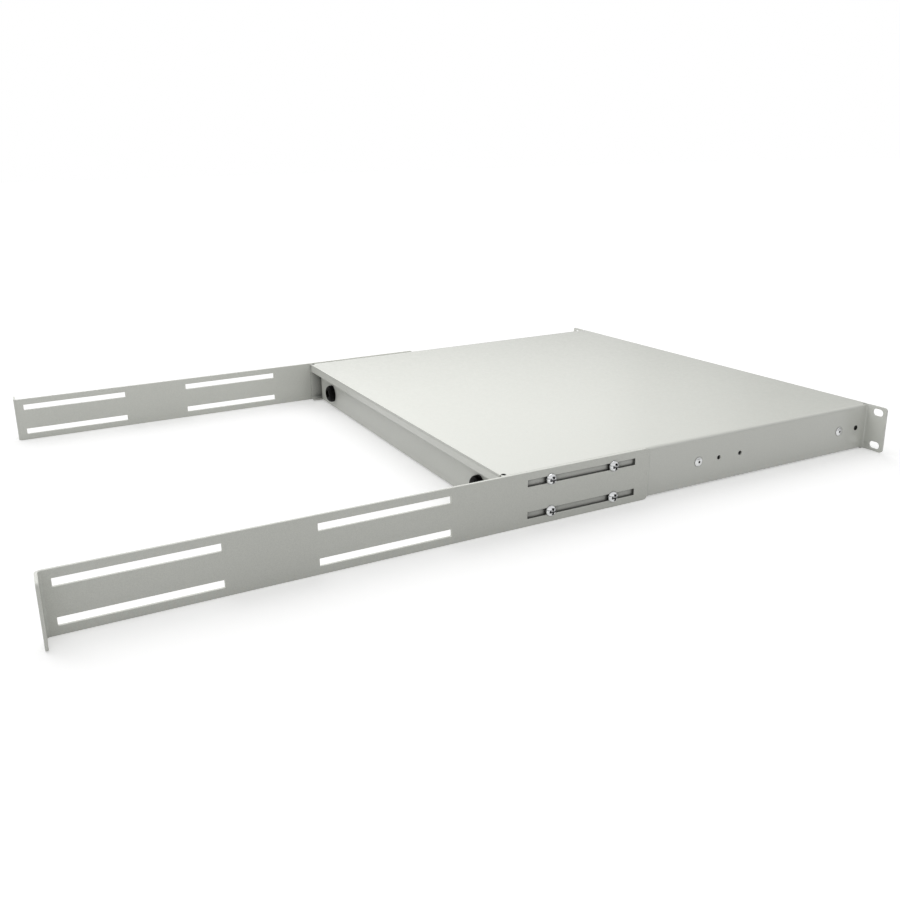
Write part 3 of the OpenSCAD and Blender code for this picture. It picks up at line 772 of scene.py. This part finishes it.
@dataclass
class CrossScrew:
    """A machine screw with a domed head, a cross recess and a rolled thread."""

    head_d: float = 9.5 * MM
    head_h: float = 3.7 * MM
    shank_d: float = 5.0 * MM
    length: float = 9.0 * MM
    pitch: float = 0.8 * MM
    wings_in_head: float = 12.0
    reach_share: float = 0.31
    recess_share: float = 0.65
    floor_rise: float = 0.35
    wall: float = 0.12 * MM
    knots: tuple[float, ...] = (0.0, 0.22, 0.30, 0.70, 0.78, 1.0)
    wing_columns: float = 0.26
    thread_share: float = 0.55
    rows_per_turn: int = 8
    sector_columns: int = 12

    def recess_grid(self) -> Surface:
        """Head with its recess, from the middle out to the rim and on to the shank.

        Columns follow the edges of the four wings. In each quarter turn, an edge that lies
        half the wing's width w from the wing's axis is met at the angle a = arcsine of
        (w / r). The columns' shares in knots meet 0, just inside a, just outside a, and the
        same three mirrored up to 90 degrees, with straight lines between. Inside r = w times
        the square root of 2 the wings meet, and a is 45 degrees.
        The dome is a sphere cap of the head's width and height. In the wings, the floor
        falls from the wing's end towards the middle in a straight line.

        Returns:
            The surface, open at the shank's end.
        """
        half, high = self.head_d / 2, self.head_h
        wing, reach = self.head_d / self.wings_in_head, self.reach_share * self.head_d
        wall = self.wall
        cap = (half * half + high * high) / (2 * high)
        radii = np.concatenate([
            [0.0], np.linspace(wing * 0.5, wing * 1.415, 4), np.linspace(wing * 1.6, reach - wall, 7),
            [reach], np.linspace(reach + wall, half - wall, 12), [half]
        ])
        wings_meet = wing * np.sqrt(2.0)
        edge = np.where(radii <= wings_meet, np.pi / 4,
                        np.arcsin(np.minimum(wing / np.maximum(radii, 1e-9), 1.0)))
        slope = np.minimum(wall / np.maximum(radii, wall), edge * 0.5)
        share = np.linspace(0.0, 1.0, self.sector_columns, endpoint=False)
        knots = np.array(self.knots)
        outer_edge = np.minimum(edge + slope, np.pi / 4)
        stops = np.stack([
            np.zeros_like(edge), edge - slope * 0.2, outer_edge,
            np.pi / 2 - outer_edge, np.pi / 2 - edge + slope * 0.2, np.full_like(edge, np.pi / 2)
        ], 1)
        seat = np.clip(np.searchsorted(knots, share, side="right") - 1, 0, 4)
        along = (share - knots[seat]) / (knots[seat + 1] - knots[seat])
        quarter = stops[:, seat] * (1 - along) + stops[:, seat + 1] * along
        angle = np.concatenate([quarter + i * np.pi / 2 for i in range(4)], 1)
        dome = np.sqrt(np.maximum(cap * cap - radii * radii, 0.0)) + high - cap
        floor = high - self.recess_share * high * (1.0 - self.floor_rise * radii / reach)
        near_axis = np.minimum(share, 1.0 - share) < self.wing_columns
        in_wing = np.tile(near_axis, 4)[None, :] | (radii <= wings_meet)[:, None]
        deep = in_wing & (radii < reach)[:, None]
        height = np.where(deep, np.minimum(floor, dome)[:, None], dome[:, None])
        under = around(self.shank_d / 2, angle[-1:], 0.0)
        return Surface(np.concatenate([around(radii[:, None], angle, height), under]))

    def thread(self) -> Surface:
        """Rolled thread below the head, closed at the tip.

        The radius is the crest's less the thread's depth times a triangle wave of
        z / pitch minus the angle's share of a turn. It is held at the crest's radius just
        under the head and shrinks to the root at the tip.

        Returns:
            The surface.
        """
        crest, depth = self.shank_d / 2, self.thread_share * self.pitch
        rows = int(self.length / self.pitch * self.rows_per_turn) + 1
        z = np.linspace(0.0, -self.length, rows)[:, None]
        angle = np.linspace(0.0, 2 * np.pi, 4 * self.sector_columns, endpoint=False)[None, :]
        phase = (z / self.pitch - angle / (2 * np.pi)) % 1.0
        wave = 1.0 - np.abs(2.0 * phase - 1.0)
        ease = smooth_step(0.0, self.pitch, -z)
        tip = smooth_step(self.length - self.pitch, self.length, -z)
        radius = crest - depth * np.maximum(wave * ease, tip)
        return Surface(np.concatenate([around(radius, angle, z), around(0.0, angle, -self.length)]))

    def surfaces(self, matrix: np.ndarray) -> list[Surface]:
        """Head and thread at a placement whose +Z leaves the head."""
        return [self.recess_grid().moved(matrix), self.thread().moved(matrix)]


@dataclass
class BlindRivet:
    """A set blind rivet: a domed flange round the broken end of its mandrel."""

    head_d: float = 8.0 * MM
    head_h: float = 1.3 * MM
    rim_h: float = 0.4 * MM
    pit_d: float = 2.2 * MM
    shank_d: float = 4.0 * MM
    shank: float = 2.7 * MM

    def surface(self, matrix: np.ndarray) -> Surface:
        """The rivet turned from one profile.

        The flange is a sphere cap on a low rim with a rolled edge, and the pit ends on the
        mandrel's domed stub.

        Args:
            matrix: Placement whose +Z leaves the flange.

        Returns:
            The surface.
        """
        half, high, pit = self.head_d / 2, self.head_h - self.rim_h, self.pit_d / 2
        cap = (half * half + high * high) / (2 * high)
        r = np.linspace(pit + 0.12 * MM, half - 0.06 * MM, 14)
        dome = np.sqrt(cap * cap - r * r) + self.head_h - cap
        stub = [(0.0, -0.75 * MM), (pit * 0.45, -0.8 * MM), (pit * 0.8, -0.98 * MM),
                (pit * 0.86, -1.4 * MM), (pit, -1.4 * MM)]
        lip = [(pit, dome[0] - 0.15 * MM), (pit + 0.03 * MM, dome[0] - 0.04 * MM)]
        edge = [(half, self.rim_h - 0.05 * MM), (half, 0.03 * MM), (half - 0.03 * MM, 0.0),
                (self.shank_d / 2, 0.0)]
        end = [(self.shank_d / 2, -self.shank), (0.0, -self.shank)]
        return turned([*stub, *lip, *zip(r.tolist(), dome.tolist()), *edge, *end]).moved(matrix)


@dataclass
class HexNut:
    """A hexagon nut with chamfered corners and a threaded bore."""

    flats: float = 7.0 * MM
    height: float = 3.2 * MM
    bore_d: float = 3.95 * MM
    pitch: float = 0.7 * MM
    chamfer_start: float = 0.475
    chamfer_slope: float = 1.732
    thread_depth: float = 0.25 * MM
    lead_depth: float = 0.3 * MM
    rows_per_turn: int = 6
    columns: int = 48

    def surface(self, matrix: np.ndarray) -> Surface:
        """One ring-shaped grid, out over the hexagon and back through the thread.

        The hexagon's radius at the angle a is half the flats over the cosine of (a taken
        into minus 30 to 30 degrees). Each end is cut by a cone of 30 degrees, so the radius
        is the smaller of the hexagon's and the cone's. In the bore the radius grows from
        the crest by a triangle wave of height / pitch minus the angle's share of a turn.

        Args:
            matrix: Placement whose +Z runs along the bore.

        Returns:
            The surface.
        """
        angle = np.linspace(0.0, 2 * np.pi, self.columns, endpoint=False)
        turn = (angle + np.pi / 6) % (np.pi / 3) - np.pi / 6
        hexagon = self.flats / 2 / np.cos(turn)
        z = np.array([0.0, 0.1, 0.2, 0.32, 0.45, 0.6]) * MM
        z = np.concatenate([z, self.height - z[::-1]])
        cone = self.chamfer_start * self.flats + np.minimum(z, self.height - z) * self.chamfer_slope
        outside = np.minimum(hexagon[None, :], cone[:, None])
        inner_z = np.linspace(self.height, 0.0, int(self.height / self.pitch * self.rows_per_turn) + 1)
        phase = (inner_z[:, None] / self.pitch - angle[None, :] / (2 * np.pi)) % 1.0
        wave = np.abs(2.0 * phase - 1.0)
        lead = smooth_step(0.0, 0.4 * MM, np.minimum(inner_z, self.height - inner_z))[:, None]
        inside = self.bore_d / 2 + self.lead_depth * (1.0 - lead) + self.thread_depth * wave * lead
        radius = np.concatenate([outside, inside])
        points = around(radius, angle, np.concatenate([z, inner_z])[:, None])
        return Surface(points, closed_rows=True).moved(matrix)


@dataclass
class CableCollar:
    """A rubber cable collar: a rounded dome behind the wall, a groove and a flat lip inside."""

    outer_d: float = 19.0 * MM
    hole_d: float = 15.0 * MM
    bore_d: float = 9.0 * MM
    rear_h: float = 6.5 * MM
    inner_h: float = 2.5 * MM
    wall: float = 1.2 * MM

    def surface(self, matrix: np.ndarray) -> Surface:
        """The collar turned from one closed profile.

        The rear face is a quarter circle a little smaller than the collar is wide. Its foot,
        its edge at the bore and the inner lip have small roundings.

        Args:
            matrix: Placement at the wall's rear face, whose +Z points to the rear.

        Returns:
            The surface.
        """
        outer, bore, groove = self.outer_d / 2, self.bore_d / 2, self.hole_d / 2 - 0.05 * MM
        low, high, r = -self.wall - self.inner_h, self.rear_h, 0.5 * MM
        round_r = outer - bore - 0.6 * MM
        profile = [
            (bore, low + r), *arc((bore + r, low + r), r, 180, 270, 5),
            *arc((outer - r, low + r), r, -90, 0, 6),
            *arc((outer - 0.3 * MM, -self.wall - 0.3 * MM), 0.3 * MM, 0, 90, 4),
            (groove, -self.wall), (groove, 0.0),
            *arc((outer - 0.25 * MM, 0.25 * MM), 0.25 * MM, -90, 0, 4),
            *arc((outer - round_r, high - round_r), round_r, 0, 90, 22),
            *arc((bore + 0.5 * MM, high - 0.5 * MM), 0.5 * MM, 90, 180, 6)
        ]
        return turned(profile, closed=True).moved(matrix)


# Sub-assemblies


@dataclass
class Housing:
    """The folded shell with its ears, and the rivets that hold the slides in it."""

    paint: Paintshop
    half_w: float = HALF_W
    rivet_y: Pair = RIVET_Y

    def dress(self) -> None:
        """Coats the shell and sets the rivets."""
        coat_node("housing_shell", self.paint.housing)
        rivet = BlindRivet()
        for side in Side:
            s = side.sign
            spots = [placement((s * self.half_w, y, 0.0), (s, 0.0, 0.0)) for y in self.rivet_y]
            settle(side.node("set_rivets"), [rivet.surface(m) for m in spots], self.paint.rivet,
                   "housing", [side.node("slide_rivets")])


@dataclass
class RearBracket:
    """One slotted depth bracket with the screws and nuts that clamp it."""

    paint: Paintshop
    side: Side
    outer_x: float = 223.1 * MM
    screw_y: Pair = (298.0 * MM, 358.0 * MM)
    row_z: float = SLOT_ROW_Z
    screw: CrossScrew = field(default_factory=CrossScrew)

    def dress(self) -> None:
        """Coats the bracket and its nuts, and builds the four screws."""
        coat_node(self.side.node("rear_bracket"), self.paint.bracket)
        coat_node(self.side.node("clinch_nuts"), self.paint.nut)
        sign = self.side.sign
        spots = [
            placement((sign * self.outer_x, y, z), (sign, 0.0, 0.0))
            for y in self.screw_y for z in (-self.row_z, self.row_z)
        ]
        surfaces = [s for m in spots for s in self.screw.surfaces(m)]
        settle(self.side.node("domed_screws"), surfaces, self.paint.screw,
               "housing", [self.side.node("bracket_screws")])


@dataclass
class Slide:
    """One telescopic slide: three members, two ball cages and the bumper."""

    paint: Paintshop
    side: Side

    def dress(self) -> None:
        """Coats every member, cage and ball."""
        for finish, names in (
                (self.paint.slide, ("slide_outer", "slide_middle", "slide_inner")),
                (self.paint.cage, ("outer_cage", "inner_cage")),
                (self.paint.ball, ("outer_balls", "inner_balls")),
                (self.paint.bumper, ("slide_bumper",))):
            for name in names:
                coat_node(self.side.node(name), finish)


@dataclass
class Drawer:
    """The tray, its front, its cable collars and the fasteners that hold it together."""

    paint: Paintshop
    half_w: float = 206.8 * MM
    head_x: float = 208.0 * MM
    sheet: float = 1.2 * MM
    screw_y: tuple[float, ...] = (45.0 * MM, 124.5 * MM, 204.0 * MM)
    stud_x: tuple[float, ...] = (-175.0 * MM, -60.0 * MM, 60.0 * MM, 175.0 * MM)
    stud_z: float = -12.5 * MM
    front_in_y: float = -0.8 * MM
    collar_x: float = 170.0 * MM
    collar_y: float = 391.2 * MM
    collar_z: float = -4.5 * MM

    def dress(self) -> None:
        """Coats the sheets and builds screws, nuts and collars."""
        coat_node("drawer_tray", self.paint.tray)
        coat_node("drawer_front", self.paint.front)
        screw = CrossScrew(
            head_d=7.8 * MM, head_h=2.4 * MM, shank_d=3.85 * MM, length=5.6 * MM, pitch=0.7 * MM)
        nut = HexNut()
        for side in Side:
            s = side.sign
            heads = [placement((s * self.head_x, y, 0.0), (s, 0.0, 0.0)) for y in self.screw_y]
            settle(side.node("tray_screw_set"), [p for m in heads for p in screw.surfaces(m)],
                   self.paint.nut, "drawer", [side.node("tray_screws")])
            inner = s * (self.half_w - self.sheet)
            seats = [placement((inner, y, 0.0), (-s, 0.0, 0.0)) for y in self.screw_y]
            settle(side.node("tray_nut_set"), [nut.surface(m) for m in seats], self.paint.nut,
                   "drawer", [side.node("tray_nuts")])
            spot = placement((s * self.collar_x, self.collar_y, self.collar_z), (0.0, 1.0, 0.0))
            settle(side.node("cable_collar"), [CableCollar().surface(spot)], self.paint.rubber,
                   "drawer", [side.node("cable_grommet")])
        nut = HexNut(bore_d=4.1 * MM)
        seats = [placement((x, self.front_in_y, self.stud_z), (0.0, 1.0, 0.0)) for x in self.stud_x]
        settle("front_nut_set", [nut.surface(m) for m in seats], self.paint.nut,
               "drawer", ["front_nuts"])


# Studio


class Tones(NodeTools):
    """Builds value tables and shader mixes for light and shade."""

    def curve(self, value: Socket, low: float, high: float, stops: Sequence[Pair]) -> Socket:
        """Looks a value up in a table with smooth steps between its stops.

        Args:
            value: The socket to look up.
            low: Start of the table.
            high: End of the table.
            stops: Pairs of a place between low and high and a result from 0 to 1.

        Returns:
            The result's socket.
        """
        share = self.add("ShaderNodeMapRange", {"Value": value, "From Min": low, "From Max": high})
        ramp = self.add("ShaderNodeValToRGB", {"Fac": share.outputs["Result"]})
        ramp.color_ramp.interpolation = "EASE"
        points = ramp.color_ramp.elements
        while len(points) < len(stops):
            points.new(0.5)
        for point, (place, level) in zip(points, stops):
            point.position = (place - low) / (high - low)
            point.color = (level, level, level, 1.0)
        return ramp.outputs["Color"]

    def blend(self, share: Socket, first: Socket, second: Socket) -> Socket:
        """Mixes two shaders: the first shows at a share of 0, and the second at 1."""
        return self.add("ShaderNodeMixShader", {0: share, 1: first, 2: second}).outputs[0]

    def shown(self) -> Socket:
        """Tells what looks at a surface.

        Returns:
            The socket of a value that is 1 for the camera, gloss and glass, and 0 for scattered light.
        """
        path = self.add("ShaderNodeLightPath").outputs
        seen = self.maths("MAXIMUM", path["Is Camera Ray"], path["Is Glossy Ray"])
        return self.maths("MAXIMUM", seen, path["Is Transmission Ray"])


@dataclass
class Studio:
    """A white floor, soft light from above, a pale surround and the camera of the photograph."""

    floor_z: float = -22.25 * MM
    floor_reach: float = 30.0
    floor_lines: int = 13
    focal_px: float = 855.7
    centre_px: Pair = (408.9, 406.5)
    image_px: float = 900.0
    sensor_mm: float = 36.0
    clip: Pair = (0.01, 80.0)
    eye: Point = (-0.738, 0.7188, 0.2495)
    right: Point = (-0.43014, -0.90242, -0.02483)
    down: Point = (-0.23574, 0.13883, -0.96185)
    ahead: Point = (0.87144, -0.40788, -0.27245)
    sky_level: float = 0.56
    room_level: float = 0.98
    room_heights: tuple[Pair, ...] = (
        (0.0, 0.24), (9.0, 0.27), (12.0, 0.33), (15.0, 0.58), (19.5, 1.0), (60.0, 0.85))
    room_bearings: tuple[Pair, ...] = (
        (100.0, 1.0), (128.5, 1.0), (131.5, 0.58), (134.0, 0.62),
        (136.0, 0.5), (139.0, 0.2), (146.0, 0.2), (160.0, 0.8))
    key_level: float = 1.17
    key_width: float = 70.0
    key_from: Point = (0.9, 0.1, 0.9)
    box_at: Point = (0.05, 0.35, 0.6)
    box_width: float = 0.45
    box_watts: float = 2.35
    floor_tone: float = 0.95
    floor_glow: float = 0.345
    floor_share: float = 0.9

    def camera(self) -> None:
        """Sets the camera from a pinhole fitted to the photograph.

        The lens is the focal length in pixels times the sensor over the image's width, and the
        shift is the offset of the optical centre from the image's centre over that width.
        """
        data = bpy.data.cameras.new("photograph camera")
        data.sensor_fit = "HORIZONTAL"
        data.sensor_width = self.sensor_mm
        data.lens = self.focal_px / self.image_px * self.sensor_mm
        data.shift_x = (self.image_px / 2 - self.centre_px[0]) / self.image_px
        data.shift_y = (self.centre_px[1] - self.image_px / 2) / self.image_px
        data.clip_start, data.clip_end = self.clip
        turn = Matrix((self.right, [-v for v in self.down], [-v for v in self.ahead])).transposed()
        camera = bpy.data.objects.new("photograph camera", data)
        camera.matrix_world = Matrix.Translation(Vector(self.eye)) @ turn.to_4x4()
        bpy.context.scene.collection.objects.link(camera)
        bpy.context.scene.camera = camera

    def floor(self) -> bpy.types.Object:
        """Lays a white floor that keeps the shadow.

        The floor is a grid of x and y at one height. Scattered light meets plain white paper.
        The camera and gloss see paper that glows to just past white where nothing shades it.
        It casts no shadow itself, so the painted shade in the finishes finds no gap between the part and
        the floor.

        Returns:
            The floor.
        """
        line = np.linspace(-self.floor_reach, self.floor_reach, self.floor_lines)
        x, y = np.meshgrid(line, line, indexing="ij")
        piece = build_piece("studio_floor", [
            Surface(np.stack([x, y, np.full_like(x, self.floor_z)], -1), closed_cols=False)
        ])
        paper = bpy.data.materials.new("studio floor")
        paper.use_nodes = True
        tones = Tones(paper.node_tree)
        plain = tones.add("ShaderNodeBsdfDiffuse", {"Color": (self.floor_tone,) * 3})
        pale = tones.add("ShaderNodeBsdfDiffuse", {"Color": (self.floor_share,) * 3})
        glow = tones.add("ShaderNodeEmission", {"Strength": self.floor_glow})
        both = tones.add("ShaderNodeAddShader", {0: pale.outputs[0], 1: glow.outputs[0]})
        seen = tones.blend(tones.shown(), plain.outputs[0], both.outputs[0])
        tones.add("ShaderNodeOutputMaterial", {"Surface": seen})
        piece.data.materials.append(paper)
        piece.visible_shadow = False
        return piece

    def key_light(self) -> None:
        """Hangs one wide soft light over the far side, even over the whole floor."""
        data = bpy.data.lights.new("wide overhead light", "SUN")
        data.energy = self.key_level
        data.angle = np.radians(self.key_width)
        lamp = bpy.data.objects.new("wide overhead light", data)
        lamp.rotation_euler = (-Vector(self.key_from)).to_track_quat("-Z", "Y").to_euler()
        bpy.context.scene.collection.objects.link(lamp)

    def soft_box(self, floor: bpy.types.Object) -> None:
        """Hangs a square soft box close above the rear of the top, so light falls off to the front.

        Args:
            floor: The floor, which the box leaves alone, so that it stays even.
        """
        data = bpy.data.lights.new("soft box", "AREA")
        data.shape = "SQUARE"
        data.size = self.box_width
        data.energy = self.box_watts
        lamp = bpy.data.objects.new("soft box", data)
        lamp.location = self.box_at
        bpy.context.scene.collection.objects.link(lamp)
        spared = bpy.data.collections.new("left out of the soft box")
        spared.objects.link(floor)
        spared.collection_objects[0].light_linking.link_state = "EXCLUDE"
        lamp.light_linking.receiver_collection = spared

    def surround(self) -> None:
        """Gives the world its even light, and the room that gloss shows.

        The camera sees white. Scattered light comes evenly from above the horizon. Gloss sees
        a room whose brightness is one table over the height above the horizon times another
        over the compass bearing, in degrees.
        """
        world = bpy.data.worlds.new("studio surround")
        world.use_nodes = True
        bpy.context.scene.world = world
        tones = Tones(world.node_tree)
        x, y, z = tones.spread(tones.add("ShaderNodeTexCoord").outputs["Generated"])
        rise = tones.maths("DEGREES", tones.maths("ARCSINE", z))
        bearing = tones.maths("DEGREES", tones.maths("ARCTAN2", x, y))
        height = tones.curve(rise, 0.0, 60.0, self.room_heights)
        walls = tones.curve(bearing, 100.0, 170.0, self.room_bearings)
        level = tones.maths("MULTIPLY", tones.maths("MULTIPLY", height, walls), self.room_level)
        even = tones.maths("MULTIPLY", tones.maths("GREATER_THAN", z, 0.0), self.sky_level)
        soft, room, seen = (
            tones.add("ShaderNodeBackground", {"Color": (1.0, 1.0, 1.0), "Strength": strength}).outputs[0]
            for strength in (even, level, 1.0))
        path = tones.add("ShaderNodeLightPath").outputs
        gloss = tones.blend(path["Is Glossy Ray"], soft, room)
        white = tones.maths("MAXIMUM", path["Is Camera Ray"], path["Is Transmission Ray"])
        tones.add("ShaderNodeOutputWorld", {"Surface": tones.blend(white, gloss, seen)})

    def build(self) -> None:
        """Sets up the whole studio."""
        self.camera()
        floor = self.floor()
        self.surround()
        self.key_light()
        self.soft_box(floor)
        bpy.context.scene.view_settings.view_transform = "Standard"


def main() -> None:
    """Builds the studio and every sub-assembly in order."""
    logging.basicConfig(level=logging.INFO, format="%(name)s: %(message)s")
    Studio().build()
    paint = Paintshop()
    Housing(paint).dress()
    for side in Side:
        RearBracket(paint, side).dress()
        Slide(paint, side).dress()
    Drawer(paint).dress()


if __name__ == "__main__":
    main()
